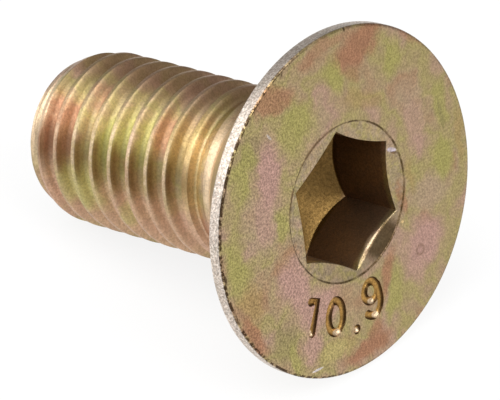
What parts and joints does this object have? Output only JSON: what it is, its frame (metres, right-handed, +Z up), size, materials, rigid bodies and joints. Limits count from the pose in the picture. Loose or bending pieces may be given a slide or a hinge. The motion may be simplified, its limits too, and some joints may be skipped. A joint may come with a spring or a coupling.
{
  "type": "countersunk socket bolt",
  "caption": "Countersunk bolt with a flat round head, a hexagon socket and a full-length right-hand metric thread, in yellow zinc finish.",
  "frame": {"origin": "middle of the bolt's footprint, at the height of the surface it lies on", "axes": "+Z up; the bolt lies on its side with its head towards +X and its tip towards -X, and its axis falls 14.8 degrees towards the tip, in the XZ plane"},
  "size_m": [0.0284, 0.0234, 0.0228],
  "materials": {
    "yellow_zinc": "satin iridescent yellow zinc plating on steel"
  },
  "bodies": {
    "root": {"bolt": "yellow_zinc"}
  },
  "joints": []
}
